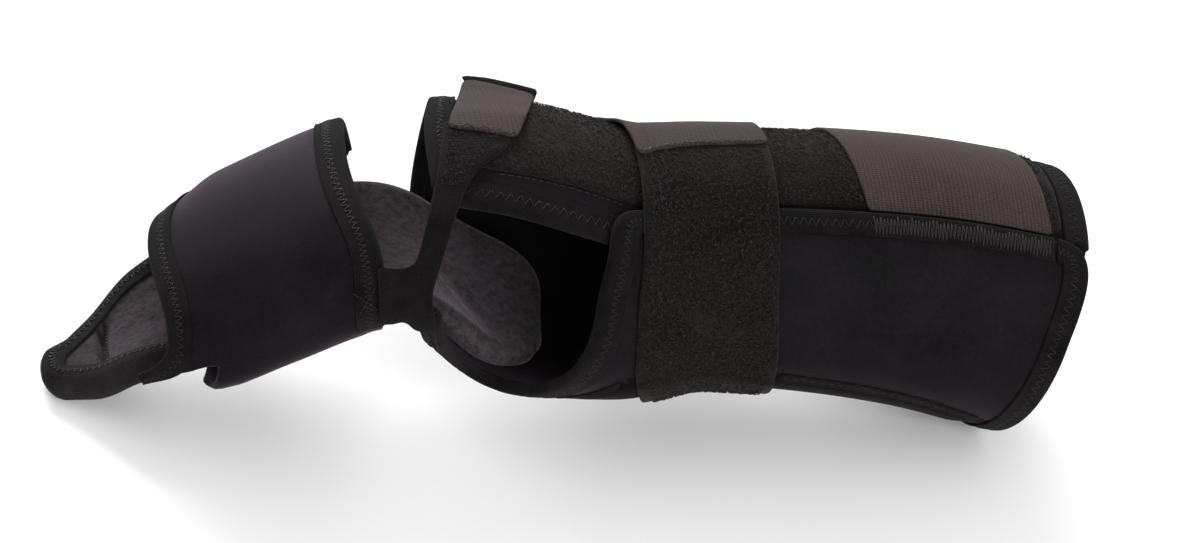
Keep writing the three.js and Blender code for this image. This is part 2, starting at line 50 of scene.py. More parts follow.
# Sizes in millimetres, in the frame of the part's source
MM = 0.001
WALL, TAPE, PILE, HOOK, WEBBING, PAD = 2.6, 0.7, 1.4, 1.0, 1.5, 7.5
GAP = 0.08
TAPE_WIDTH, TAPE_TUCK = 7.0, 3.5
SQUEEZE = 0.35
SQUEEZE_EASE = (4, 8)
SOFT_EDGE, PAD_SOFT_EDGE = 0.7, 3.2
WAVE_LENGTH, WAVE, CUFF_WAVE = 17.0, 0.25, 0.3
MID = np.array([140.58, -1.73, 1.5])

# Sections of the limb inside: place along it, centre line, half width, rise, drop, thumb's swell
LIMB_KEYS = ("at", "x", "z", "half_width", "rise", "drop", "thumb")
LIMB = np.array([
    (0, -4, 12, 33, 13, 12, 0),
    (41, 34, 30, 37, 15, 14, 0),
    (68.5, 58, 43, 39, 16, 15.5, 0),
    (95, 82, 55, 41, 17, 18, 0),
    (117, 103, 59, 43, 21, 25, 4),
    (142, 128, 55, 43, 25, 29, 10),
    (172, 156.5, 46.5, 40, 29, 29.5, 4),
    (195, 179.5, 46, 37, 31, 29, 0),
    (252, 237, 44, 38.5, 32.5, 32.2, 0),
    (297, 281, 35.5, 40, 34.5, 35.5, 0),
])
THUMB_TURN, THUMB_SPREAD = 135, 70
MM_PER_DEGREE = 0.65

# Lifts above the limb's skin
TAPED = WALL - SQUEEZE + GAP + TAPE
FLAP_LIFT = TAPED + SQUEEZE
FLAP_SLOPE = (47, 75)
ON_PILE = WALL + PILE + 2 * GAP
ON_FLAP = FLAP_LIFT + TAPED + GAP

# Pattern edges: place along the limb, turn round it in degrees, and rounding of the corner
BODY_EDGE = [
    (292, 33, 10), (289.5, 100, 30), (288.5, 180, 30), (290, 260, 30), (293, 340, 20),
    (293, 404, 10), (205, 405, 20), (154, 407, 20), (131, 400, 15), (114, 396, 8),
    (114, 350, 15), (118, 312, 15), (119, 270, 15), (114.5, 215, 20), (114, 165, 15),
    (111.5, 124, 6), (104.4, 101, 4), (104, 95, 3), (113, 95, 4), (115.2, 112, 6),
    (120, 129, 8), (129, 143, 9), (146, 143, 12),
    (157, 122, 12), (158.5, 100, 20), (155, 70, 20), (153.5, 33, 9),
]
FLAP_CORNER = (281, 34)
END_TAPE_STOP, BACK_TAPE_START = 391.5, 170
LOOP_EDGE = [
    (284.5, 28.5, 4), (282.5, -62, 6), (126, -46, 6), (122, 20, 4), (140, 22.5, 10), (165, 28.5, 10),
]
FOREARM_TAB_EDGE = [(233, 31, 1), (280.5, 31, 1), (276.5, -55, 5), (226, -55, 5)]
FOREARM_TAB_LIFT = [(-60, ON_PILE), (16, ON_PILE), (31, ON_PILE + 0.6)]
WRIST_STRAP_EDGE = [
    (162.5, -6, 2), (161.8, 28, 12), (163, 50, 12), (166, 70, 12), (172.5, 108, 12), (178, 137, 12),
    (180, 165, 12), (177, 230, 12), (172, 288, 4), (210, 288, 4), (214.5, 210, 12), (214.5, 145, 12),
    (212.3, 112, 12), (208, 60, 12), (208.3, 30, 12), (209, -6, 2),
]
WRIST_STRAP_LIFT = [
    (-10, ON_PILE + 0.5), (10, ON_PILE + 1.4), (28, ON_FLAP + GAP), (45, ON_FLAP + GAP),
    (60, ON_FLAP - 1.8), (78, WALL + 3 * GAP), (110, WALL + 2 * GAP), (300, WALL + 2 * GAP),
]
WRIST_TAB_EDGE = [(162, 5.5, 2), (209, -1, 2), (206, -58, 5), (158, -58, 5)]
WRIST_TAB_LIFT = [
    (-60, ON_PILE), (-40, ON_PILE), (-20, ON_PILE + WEBBING + 0.5), (-4, ON_PILE + WEBBING + 0.9),
    (10, ON_PILE + WEBBING + 1.5),
]
WEB_STRAP_EDGE = [
    (107.3, 109, 2), (104.4, 101.5, 2), (96.4, 100.8, 1.2), (99.2, 66.5, 1.2), (107.4, 69.5, 4),
    (109.8, 58, 6), (112.1, 44.5, 6), (115, 24, 6), (117.5, -6, 2), (130.5, -1, 2), (130, 9, 5),
    (122, 24, 6), (118.9, 37, 6), (115.2, 60, 6), (112.6, 78, 6), (111.4, 88, 5), (112.6, 98, 5),
    (114.2, 109, 2),
]
WEB_STRAP_LIFT = [
    (-10, ON_PILE), (32, ON_PILE), (44, 4), (60, 2), (78, 1.6), (92, TAPED + GAP), (115, TAPED + GAP),
]
# Where the web strap's end laps over the cuff: lift, places along the limb, turns
ON_CUFF = {"lift": TAPED + 0.75, "near": 100.2, "far": 104, "start": 60, "stop": 67}
KNUCKLE_TAB_EDGE = [(117.8, 1, 2), (131.5, 6, 2), (141.5, -41, 3), (124.5, -48, 4)]
KNUCKLE_HOOK_EDGE = [(127, -36, 1), (139.6, -31, 1), (142.8, -45.5, 1), (124.4, -52.5, 1)]
KNUCKLE_HOOK_DEPTH = 0.75
KNUCKLE_CURL = {"rise": 1.35, "start": 0.4, "stop": 4.5}
KNUCKLE_TAB_LIFT = [
    (-50, ON_PILE + 4), (-37, ON_PILE + 1), (-22, ON_PILE + 0.5), (-7, ON_PILE + WEBBING + GAP),
    (10, ON_PILE + WEBBING + GAP),
]
CUFF_EDGE = [
    (47, -104, 5), (43, -55, 15), (40.6, -15, 12), (39.8, 8, 12), (41.8, 45, 12), (40, 70, 9),
    (34.5, 82.5, 6), (27.4, 89.6, 2), (34, 91.8, 4), (40.5, 95, 4), (46.3, 92.5, 3), (50.2, 95.5, 0),
    (42, 132, 2), (45, 258, 5), (92, 258, 5), (95.8, 140, 10), (97.2, 101, 8), (100.5, 58, 12),
    (96, 8, 12), (96.5, -60, 12), (96, -104, 5),
]
TIP_TAPE = {"before": 45, "start": 89.2, "stop": -92}
KNUCKLE_TAPE = {"after": 90, "start": -98, "stop": 110}
CUFF_HANG = [(27, 1), (40, 1.8), (48, 3.6), (70, 2.6), (100, 1)]
CUFF_HANG_TURN, CUFF_LAP_TURN = (85, 122), (205, 235)
CUFF_BULGE = {"rise": 1.0, "start": 42, "length": 54}
CUFF_DIP = {"depth": 4, "start": 5, "stop": 55, "near": 40, "far": 62}
CUFF_TUCK = {"depth": 3.2, "start": 45, "stop": 96, "near": 24, "far": 50}

# The pan: place along the limb, middle and half width, all in millimetres
PAN = [
    (-1.5, -6, 6), (4, -5, 10), (13, -3.5, 17.5), (25, -2.5, 26.5), (42, 0, 32), (70, 0, 33), (100, 0, 32),
    (130, 0, 26), (160, 0, 21),
]
PAN_ROUND = 14
PAN_UNDER = {"tip": 1.2, "palm": -2.2, "start": 12, "stop": 28}
PAN_TAPE_END = 46
PAN_TOP = -PAD + 0.4
PAN_STACK = PAN_UNDER["tip"] + GAP + TAPE
PAN_SWELL = 3.0
PAN_CREASE, CREASE_DEPTH, CREASE_WIDTH, CREASE_HOLD = 17.6, 4.6, 1.3, 2.2
# How far in the pad is held and where its swelling starts, each with more where it is taped
PAD_HOLD, PAD_START, PAD_EASE = (2.5, 4.5), (1, 6), 6
PAN_TAPE_FADE, CREASE_EASE = 10, 3
PAN_GRID = {"at": (-3, 163), "across": (-36, 37), "step": 0.7}
FILLING = {"voxel": 4.5, "quality": 5, "pressure": 8, "stretch": 4, "shear": 2, "bend": 0.1, "frames": 20}

# The pocket along the palm side: its upper seam, as turn by place
POCKET_SEAM = [(158, 140), (164.5, 130), (173, 113), (190, 110), (212, 115), (235, 119.5), (280, 129)]
POCKET_RISE = 0.9
POCKET_ENDS = {"start": (160, 167), "stop": (274, 281)}
# Where the palm side's painted shade starts, in degrees past the pocket's seam
POCKET_SLOPE, PALM_SHADE_EDGE = (-1, 3.5), -0.5
POCKET_HEM = {
    "half_turn": 2.2, "thick": 0.5,
    "near": [(159, 170.5), (213.6, 279)], "far": [(120, 173), (214.6, 279)],
}

# Stitches: where they run, the step between them and the thread's radius
TAPE_SEAM = {"near": 2.3, "far": 5.0, "step": 1.1, "radius": 0.14}
TAB_SEAM = {
    "run": (233.5, 280), "before": 40, "near": 0.6, "far": 6.6, "step": 0.45, "radius": 0.2, "loose": 0.16,
}
WRIST_TAB_SEAM = ((163, 2.9), (208, -3.2), 1.6)
KNUCKLE_TAB_SEAM = ((118.4, -1.5), (131, 3.2), 2.0)
PANEL_SEAM, PANEL_RUN = [(122, 21.2), (140, 23.9), (165, 29.8)], (127, 159)
CROSS_SEAM = [[(91.5, 77), (96.6, 91)], [(97.6, 76.5), (91.5, 91)]]
CROSS_POINTS = 9
SEAM_STEP, TAB_STEP, CREASE_STEP = 0.9, 0.75, 0.8

# Yarn loops of the pile: how many, how tall, and between which turns on the straps
LOOP_COUNT = {"panel": 9500, "wrist": 9500, "web": 900}
LOOP_HEIGHT = 0.5
STRAP_PILE_START, WEB_PILE_STOP = 3, 32

# Camera, as found from the photo: its aim in the source's frame, degrees, and a distance in metres
AIM = (151.7, 0, 40.9)
AZIMUTH, ELEVATION, ROLL, DISTANCE = -12.5, 31.7, 8.4, 1.2
MM_PER_PIXEL, PHOTO_WIDTH, SENSOR_WIDTH = 0.28, 1200, 36
FLOOR_REACH = 6


# A smooth curve through a table, level at the rows where it turns back
def curve(rows):
    xs, ys = np.array(rows, float).T
    rate = np.diff(ys) / np.diff(xs)
    slope = np.concatenate([rate[:1], (ys[2:] - ys[:-2]) / (xs[2:] - xs[:-2]), rate[-1:]])
    slope[1:-1][rate[1:] * rate[:-1] <= 0] = 0

    def value(where):
        i = np.clip(np.searchsorted(xs, where, side="right") - 1, 0, len(xs) - 2)
        span = xs[i + 1] - xs[i]
        t = (where - xs[i]) / span
        bend = t * (1 - t) * span * ((1 - t) * slope[i] - t * slope[i + 1])
        return ys[i] + (ys[i + 1] - ys[i]) * t * t * (3 - 2 * t) + bend

    return value


# The same, level beyond the ends of the table
def level(rows):
    inner = curve(rows)
    return lambda where: inner(np.clip(where, rows[0][0], rows[-1][0]))


def step_up(value, low, high):
    t = np.clip((value - low) / (high - low), 0, 1)
    return t * t * (3 - 2 * t)


def unit(vectors):
    return vectors / np.maximum(np.linalg.norm(vectors, axis=-1, keepdims=True), 1e-12)


limb = {key: curve(np.column_stack([LIMB[:, 0], LIMB[:, i]])) for i, key in enumerate(LIMB_KEYS) if i}


# A point on the limb's skin
def skin(at, turn):
    side, height = np.sin(np.radians(turn)), np.cos(np.radians(turn))
    from_thumb = np.minimum(np.abs(np.mod(turn, 360) - THUMB_TURN) / THUMB_SPREAD, 1)
    bulge = limb["thumb"](at) * np.cos(from_thumb * math.pi / 2) ** 2
    reach = np.where(height > 0, limb["rise"](at), limb["drop"](at)) + bulge
    run = limb["x"](at + 0.5) - limb["x"](at - 0.5)
    climb = limb["z"](at + 0.5) - limb["z"](at - 0.5)
    up = reach * height / np.hypot(run, climb)
    x = limb["x"](at) - climb * up
    return np.stack([x, -(limb["half_width"](at) + bulge) * side, limb["z"](at) + run * up], -1)


# A point lifted off the skin, pressed flat where the splint lies on the floor
def place(at, turn, lift, stack):
    step = 0.2
    along = skin(at + step, turn) - skin(at - step, turn)
    around = skin(at, turn + step) - skin(at, turn - step)
    lift = np.broadcast_to(lift, np.shape(at))
    point = skin(at, turn) + unit(np.cross(around, along)) * lift[..., None] - MID
    point[..., 2] = np.maximum(point[..., 2], np.maximum(stack - lift, 0))
    return point


# Soft unevenness of worn cloth, from a few long waves
def waves(at, turn, size):
    a, b = np.asarray(at) / WAVE_LENGTH, np.radians(turn)
    soft = np.sin(a + 1.7 * np.sin(2 * b)) * np.sin(3 * b + 0.4) + 0.6 * np.sin(5 * b - 1.3 * a + 2)
    return size * 0.6 * soft


# Lays a pattern on the limb with an extra lift
def laid(extra):
    def lay(spots, lift):
        at, turn = spots[..., 0], spots[..., 1] / MM_PER_DEGREE
        return place(at, turn, lift + extra(at, turn), TAPED)

    return lay


# Points at an even step along a line
def spaced(points, step, closed):
    line = np.vstack([points, points[:1]]) if closed else points
    total = np.concatenate([[0], np.cumsum(np.linalg.norm(np.diff(line, axis=0), axis=1))])
    count = max(int(round(total[-1] / step)), 4)
    wanted = np.linspace(0, total[-1], count + (not closed), endpoint=not closed)
    return np.column_stack([np.interp(wanted, total, line[:, k]) for k in (0, 1)])


# A closed pattern with rounded corners, its inside on its left
def outline(rows, scale=MM_PER_DEGREE, step=1.2):
    corners = np.array([(row[0], row[1] * scale) for row in rows])
    points = []
    for i, row in enumerate(rows):
        ends = []
        for other in (corners[i - 1], corners[(i + 1) % len(rows)]):
            share = min(0.499, row[2] / np.linalg.norm(other - corners[i]))
            ends.append(corners[i] + (other - corners[i]) * share)
        for t in np.linspace(0, 1, 11):
            points.append((1 - t) ** 2 * ends[0] + 2 * t * (1 - t) * corners[i] + t * t * ends[1])
    points = np.array(points)
    after = np.roll(points, -1, axis=0)
    if (points[:, 0] * after[:, 1] - after[:, 0] * points[:, 1]).sum() < 0:
        points = points[::-1]
    return spaced(points, step, True)


# Which spots lie inside a pattern, and how far each is from the pattern's edge
def within(spots, edge):
    a, b = edge, np.roll(edge, -1, axis=0)
    held, far = [], []
    for part in np.array_split(spots, max(len(spots) // 1500, 1)):
        x, y = part[:, :1], part[:, 1:]
        crosses = (a[:, 1] > y) != (b[:, 1] > y)
        rise = np.where(b[:, 1] == a[:, 1], 1e-9, b[:, 1] - a[:, 1])
        held.append((crosses & (x < a[:, 0] + (y - a[:, 1]) * (b[:, 0] - a[:, 0]) / rise)).sum(1) % 2 == 1)
        gap = part[:, None] - a
        t = np.clip((gap * (b - a)).sum(-1) / ((b - a) ** 2).sum(-1), 0, 1)
        far.append(np.linalg.norm(gap - t[..., None] * (b - a), axis=-1).min(1))
    return np.concatenate(held), np.concatenate(far)


def left_of(edge):
    tangent = unit(np.roll(edge, -1, axis=0) - np.roll(edge, 1, axis=0))
    return np.column_stack([-tangent[:, 1], tangent[:, 0]])


# Triangles over a pattern: its edge, rows close to the edge, and an even field inside
def fill(edge, spacing, rows):
    low, high = edge.min(0), edge.max(0)
    xs = np.arange(low[0], high[0], spacing)
    ys = np.arange(low[1], high[1], spacing * 0.866)
    field = np.array([(x + 0.5 * spacing * (j % 2), y) for j, y in enumerate(ys) for x in xs])
    groups = [edge + left_of(edge) * row for row in rows] + [field]
    need = np.concatenate([np.full(len(edge), 0.85 * row) for row in rows]
                          + [np.full(len(field), rows[-1] + 0.6 * spacing)])
    extra = np.vstack(groups)
    held, far = within(extra, edge)
    spots = np.vstack([edge, extra[held & (far > need)]])
    links = [(i, (i + 1) % len(edge)) for i in range(len(edge))]
    found = delaunay_2d_cdt([Vector(spot) for spot in spots], links, [], 1, 1e-5)
    spots = np.array([tuple(v) for v in found[0]])
    return spots, [tuple(face) for face in found[2]], within(spots, edge)[1]


def add_object(name, data):
    thing = bpy.data.objects.new(name, data)
    bpy.context.scene.collection.objects.link(thing)
    return thing


# A mesh object from points in millimetres, with its flat pattern as texture coordinates
def make(name, points, faces, material, flat=None):
    points = np.array(points)
    points[:, 2] = np.maximum(points[:, 2], 0)
    mesh = bpy.data.meshes.new(name)
    mesh.from_pydata((points * MM).tolist(), [], faces)
    if flat is not None:
        layer = mesh.uv_layers.new(name="flat")
        corner = np.empty(len(mesh.loops), int)
        mesh.loops.foreach_get("vertex_index", corner)
        layer.data.foreach_set("uv", (np.asarray(flat)[corner] * MM).astype(np.float32).ravel())
    bm = bmesh.new()
    bm.from_mesh(mesh)
    bmesh.ops.delete(bm, geom=[v for v in bm.verts if not v.link_faces], context="VERTS")
    bmesh.ops.recalc_face_normals(bm, faces=bm.faces)
    bm.to_mesh(mesh)
    bm.free()
    mesh.polygons.foreach_set("use_smooth", [True] * len(mesh.polygons))
    mesh.materials.append(material)
    piece = add_object(name, mesh)
    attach(piece, "root")
    return piece


# A sheet of cloth with rounded edges. Its faces may lie closer near the edge.
def cloth(name, edge, lay, inner, outer, material, spacing=2.2, soft_edge=SOFT_EDGE, squeeze=0.0):
    spots, faces, far = fill(edge, spacing, (0.3 * soft_edge, soft_edge))
    pinch = squeeze * (1 - step_up(far, *SQUEEZE_EASE))
    middle, half = (inner + outer) / 2, (outer - inner) / 2 - pinch
    share = np.sqrt(1 - (1 - np.clip(far / soft_edge, 0, 1)) ** 2)
    rim = far < 1e-3
    below = np.arange(len(spots))
    below[~rim] = len(spots) + np.arange((~rim).sum())
    points = np.vstack([lay(spots, middle + half * share), lay(spots, middle - half * share)[~rim]])
    faces = [face for face in faces if not rim[list(face)].all()]
    faces += [tuple(int(below[i]) for i in reversed(face)) for face in faces]
    return make(name, points, faces, material, np.vstack([spots, spots[~rim]]))


# Steps across a laid pattern, square to its edge, for one millimetre into the cloth
def inward_steps(path, lay, lift):
    reach = 0.5
    slope = [(lay(path + d, lift) - lay(path - d, lift)) / (2 * reach)
             for d in (np.array([reach, 0]), np.array([0, reach]))]
    tangent = np.gradient(path, axis=0)
    edge = unit(slope[0] * tangent[:, :1] + slope[1] * tangent[:, 1:])
    left = slope[1] * tangent[:, :1] - slope[0] * tangent[:, 1:]
    left = unit(left - edge * (left * edge).sum(1, keepdims=True))
    aa, ar, rr = [(p * q).sum(1) for p, q in ((slope[0],) * 2, slope, (slope[1],) * 2)]
    al, rl = (slope[0] * left).sum(1), (slope[1] * left).sum(1)
    return np.column_stack([rr * al - ar * rl, aa * rl - ar * al]) / (aa * rr - ar * ar)[:, None]


# A tape folded over an edge, wider on its outer face. It gives lines on that face for stitches.
class Tape:
    def __init__(self, name, path, lay, inner, outer, material,
                 squeeze=SQUEEZE, soft_edge=SOFT_EDGE, taper=0.0):
        self.path, self.lay, self.squeeze = spaced(path, 1.0, False), lay, squeeze
        self.side = 1 if outer > inner else -1
        self.middle, self.half = (inner + outer) / 2, abs(outer - inner) / 2 - squeeze
        self.inward = inward_steps(self.path, lay, self.middle)
        reach = self.reach()
        if taper:
            reach *= 0.2 + 0.8 * step_up(np.arange(len(reach)), 0, taper)
        deep = self.path + self.inward * reach[:, None]
        for _ in range(24):
            deep[1:-1] = 0.25 * deep[:-2] + 0.5 * deep[1:-1] + 0.25 * deep[2:]
        self.deep = deep
        top, over = self.half + GAP, self.half + GAP + TAPE
        lip = squeeze * step_up(TAPE_WIDTH, *SQUEEZE_EASE)

        def bend(offset, angles):
            wide, rise = soft_edge + offset, self.half + offset
            return [(soft_edge - wide * math.cos(a), rise * math.sin(a)) for a in angles]

        # Depth into the cloth and height from its middle, round the tape from its outer lip
        quarter = math.pi / 2
        profile = [
            (TAPE_WIDTH, top + lip), (TAPE_WIDTH + 0.12, top + lip + 0.5 * TAPE),
            (TAPE_WIDTH - 0.25, over + lip), (TAPE_WIDTH - 0.9, over + 0.25 * lip),
            (5.2, over + 0.12), (soft_edge + 1.2, over + 0.06),
            *bend(GAP + TAPE, np.linspace(quarter, -quarter, 9)),
            (TAPE_TUCK, -over), (TAPE_TUCK + 0.1, -top - 0.5 * TAPE), (TAPE_TUCK, -top),
            *bend(GAP, np.linspace(-quarter, quarter, 7)), (4, top),
        ]
        rings = np.stack([self.line(inset, height) for inset, height in profile], 1)
        count, sides = rings.shape[:2]
        faces = [
            (i * sides + j, i * sides + k, (i + 1) * sides + k, (i + 1) * sides + j)
            for i in range(count - 1) for j, k in zip(range(sides), np.roll(range(sides), -1).tolist())
        ]
        faces += [tuple(range(sides)), tuple((count - 1) * sides + j for j in range(sides))]
        along = np.concatenate([[0], np.cumsum(np.linalg.norm(np.diff(rings[:, 4], axis=0), axis=1))])
        across = np.cumsum([0] + [math.dist(p, q) for p, q in zip(profile, profile[1:])])
        flat = np.stack(np.broadcast_arrays(along[:, None], across[None, :]), -1).reshape(-1, 2)
        self.piece = make(name, rings.reshape(-1, 3), faces, material, flat)

    # How far the tape reaches in, less where the cloth is narrow
    def reach(self):
        away = self.path[None] - self.path[:, None]
        far = np.linalg.norm(away, axis=-1)
        order = np.arange(len(self.path))
        facing = (away * unit(self.inward)[:, None]).sum(-1) > 0.8 * far
        facing &= np.abs(order[None] - order[:, None]) > 2 * TAPE_WIDTH
        return np.minimum(TAPE_WIDTH, 0.45 * np.where(facing, far, 99).min(1))

    def spots(self, inset):
        if inset < 0:
            return self.path + self.inward * inset
        return self.path + (self.deep - self.path) * (inset / TAPE_WIDTH)

    # The line at a depth into the cloth and a height from the middle of its wall
    def line(self, inset, height):
        return self.lay(self.spots(inset), np.full(len(self.path), self.middle + self.side * height))

    def face(self, inset):
        return self.line(inset, self.half + self.squeeze * step_up(inset, *SQUEEZE_EASE) + GAP + TAPE + 0.08)

    def out(self):
        return self.line(3, self.half + 3) - self.line(3, self.half)


# The run of a closed edge from where one test first holds to where another does
def edge_run(edge, starts, stops):
    on = starts(edge)
    first = int(np.argmax(on & ~np.roll(on, 1)))
    turned = np.roll(edge, -first, axis=0)
    return turned[:int(np.argmax(stops(turned)))]


def turn_of(spots):
    return spots[:, 1] / MM_PER_DEGREE


# A line of spots laid at one lift, and the way out of the cloth along it
def laid_line(lay, spots, lift):
    lifts = np.full(spots.shape[:-1], lift)
    line = lay(spots, lifts)
    return line, lay(spots, lifts + 1) - line


# Sewn threads: short rounded bars that dip into the cloth at both ends
def threads(name, starts, ends, out, material, radius):
    out = unit(out)
    along = ends - starts
    side = unit(np.cross(unit(along), out))
    rings, sides = [], 6
    profile = ((0.0, 0.5, -0.9), (0.18, 1.0, 0.1), (0.5, 1.05, 0.4), (0.82, 1.0, 0.1), (1.0, 0.5, -0.9))
    for share, size, lift in profile:
        middle = starts + along * share + out * radius * lift
        for j in range(sides):
            angle = 2 * math.pi * j / sides
            rings.append(middle + radius * size * (math.cos(angle) * side + math.sin(angle) * out))
    return make(name, *bars(rings, sides, len(profile)), material)


# Faces of many equal tubes, from their points in ring order
def bars(rings, sides, count):
    points = np.stack(rings, 1)
    pattern = []
    for i in range(count - 1):
        for j in range(sides):
            k = (j + 1) % sides
            pattern.append((i * sides + j, i * sides + k, (i + 1) * sides + k, (i + 1) * sides + j))
    caps = [tuple(range(sides))[::-1], tuple((count - 1) * sides + j for j in range(sides))]
    per = sides * count
    faces = [tuple(n * per + i for i in face) for n in range(len(points)) for face in pattern + caps]
    return points.reshape(-1, 3), faces


# Looped pile: small arches of yarn set all over a pattern
def pile(name, edge, lay, lift, count, material, keep=None, margin=1.0):
    low, high = edge.min(0), edge.max(0)
    spots = rng.uniform(low, high, (count * 4, 2))
    held, far = within(spots, edge)
    spots = spots[held & (far > margin)]
    if keep is not None:
        spots = spots[keep(spots)]
    spots = spots[:count]
    flat = np.full(len(spots), lift)
    base = lay(spots, flat)
    out = unit(lay(spots, flat + 0.5) - base)
    angle = rng.uniform(0, 2 * math.pi, len(spots))
    tilt = np.column_stack([np.cos(angle), np.sin(angle)])
    lean = unit(lay(spots + tilt * 0.4, flat) - base)
    side = np.cross(lean, out)
    span = rng.uniform(0.5, 1.1, (len(spots), 1))
    tall = LOOP_HEIGHT * rng.uniform(0.5, 1.15, (len(spots), 1))
    thick = rng.uniform(0.08, 0.13, (len(spots), 1))
    rings = []
    for share, rise in ((-0.5, -0.2), (-0.3, 0.8), (0.25, 1.0), (0.5, -0.2)):
        middle = base + lean * span * share + out * tall * rise
        for j in range(3):
            turn = 2 * math.pi * j / 3
            rings.append(middle + thick * (math.cos(turn) * side + math.sin(turn) * out))
    return make(name, *bars(rings, 3, 4), material)


# A line of points taken again at a shorter or longer step, given for points about 1 mm apart
def finer(line, step):
    at = np.arange(len(line))
    wanted = np.arange(0, len(line) - 1, step)
    return np.column_stack([np.interp(wanted, at, line[:, k]) for k in range(3)])


# Zigzag stitches between two lines that run side by side
def zigzag(name, near, far, out, material, pitch=2, radius=0.16, loose=0.1):
    picks = np.arange(0, len(near) - pitch, pitch)
    odd = (np.arange(len(near)) // pitch % 2 == 1)[:, None]
    slack = rng.uniform(0, loose, (len(near), 1))
    turns = np.where(odd, far + (near - far) * slack, near + (far - near) * slack)
    return threads(name, turns[picks], turns[picks + pitch], out[picks], material, radius)


# Running stitches along one line
def running(name, line, out, material, pitch=3, share=0.72, radius=0.16):
    picks = np.arange(0, len(line) - pitch, pitch)
    starts = line[picks]
    ends = starts + (line[picks + pitch] - starts) * share
    return threads(name, starts, ends, out[picks], material, radius)


# Node trees of the materials. Scales count waves and specks in a metre, depths are in millimetres.
class Nodes:
    def __init__(self, name):
        self.material = bpy.data.materials.new(name)
        self.material.use_nodes = True
        self.tree = self.material.node_tree
        self.shader = self.tree.nodes["Principled BSDF"]

    def add(self, kind, inputs=None, **settings):
        node = self.tree.nodes.new("ShaderNode" + kind)
        for key, value in settings.items():
            setattr(node, key, value)
        for key, value in (inputs or {}).items():
            if isinstance(value, bpy.types.NodeSocket):
                self.tree.links.new(value, node.inputs[key])
            else:
                node.inputs[key].default_value = value
        return node

    # Coordinates on the flat pattern
    def flat(self):
        return self.add("UVMap", uv_map="flat").outputs["UV"]

    # Coordinates in the piece
    def solid(self):
        return self.add("TexCoord").outputs["Object"]

    def noise(self, where, scale, detail=3.0, rough=0.55):
        inputs = {"Vector": where, "Scale": scale, "Detail": detail, "Roughness": rough}
        return self.add("TexNoise", inputs).outputs[0]

    def wave(self, where, scale, axis, bend=0.6):
        inputs = {"Vector": where, "Scale": scale, "Distortion": bend, "Detail": 1.0, "Detail Scale": 3.0}
        return self.add("TexWave", inputs, wave_type="BANDS", bands_direction=axis).outputs["Fac"]

    def math(self, kind, a, b):
        return self.add("Math", {0: a, 1: b}, operation=kind).outputs[0]

    def ramp(self, value, low, high, dark, light):
        node = self.add("ValToRGB", {"Fac": value})
        ends = node.color_ramp.elements
        ends[0].position, ends[0].color = low, (*dark, 1)
        ends[1].position, ends[1].color = high, (*light, 1)
        return node.outputs["Color"]

    def range(self, value, low, high):
        return self.add("MapRange", {"Value": value, "To Min": low, "To Max": high}).outputs[0]

    def link(self, socket, key):
        self.tree.links.new(socket, self.shader.inputs[key])

    def bump(self, height, depth):
        node = self.add("Bump", {"Height": height, "Distance": depth * MM, "Strength": 1.0})
        self.link(node.outputs["Normal"], "Normal")

    def constants(self, **values):
        for key, value in values.items():
            self.shader.inputs[key.replace("_", " ")].default_value = value

    def sheen(self, weight, roughness, gloss, tint=(1, 1, 1)):
        self.constants(Sheen_Weight=weight, Sheen_Roughness=roughness, Sheen_Tint=(*tint, 1))
        self.constants(Specular_IOR_Level=gloss)


def neoprene_material(name, dark, light, sheen):
    n = Nodes(name)
    flat, solid = n.flat(), n.solid()
    knit = n.math("MULTIPLY", n.wave(flat, 900, "X"), n.wave(flat, 700, "Y"))
    cloud = n.noise(solid, 55)
    grain = n.noise(solid, 900, 2)
    mix = n.math("ADD", n.math("MULTIPLY", cloud, 0.6), n.math("MULTIPLY", grain, 0.4))
    n.link(n.ramp(mix, 0.3, 0.75, dark, light), "Base Color")
    n.link(n.range(cloud, 0.5, 0.66), "Roughness")
    n.bump(n.math("ADD", n.math("MULTIPLY", knit, 0.3), grain), 0.05)
    n.sheen(sheen, 0.38, 0.01, (1, 0.70, 0.95))
    return n.material


def tape_material(name, dark, light):
    n = Nodes(name)
    flat, solid = n.flat(), n.solid()
    rib = n.wave(flat, 800, "X", 1.2)
    yarn = n.wave(flat, 520, "Y", 1.5)
    cloud = n.noise(solid, 160)
    mix = n.math("MULTIPLY", n.math("ADD", rib, yarn), cloud)
    n.link(n.ramp(mix, 0.2, 1.1, dark, light), "Base Color")
    n.link(n.range(cloud, 0.7, 0.9), "Roughness")
    n.bump(n.math("ADD", rib, yarn), 0.1)
    n.sheen(0.03, 0.4, 0.02, (1, 0.85, 0.9))
    return n.material


def pile_material(name, dark, light):
    n = Nodes(name)
    solid = n.solid()
    speck = n.noise(solid, 1300, 3, 0.7)
    cloud = n.noise(solid, 90)
    mix = n.math("MULTIPLY", speck, n.range(cloud, 0.7, 1.3))
    n.link(n.ramp(mix, 0.35, 0.8, dark, light), "Base Color")
    n.link(n.range(speck, 0.75, 0.95), "Roughness")
    n.bump(speck, 0.35)
    n.sheen(0.06, 0.4, 0.02, (1, 0.76, 0.76))
    return n.material


def yarn_material(name, dark, light):
    n = Nodes(name)
    solid = n.solid()
    n.link(n.ramp(n.noise(solid, 900, 2), 0.35, 0.75, dark, light), "Base Color")
    n.link(n.range(n.noise(solid, 300), 0.5, 0.8), "Roughness")
    n.sheen(0.05, 0.4, 0.08)
    return n.material


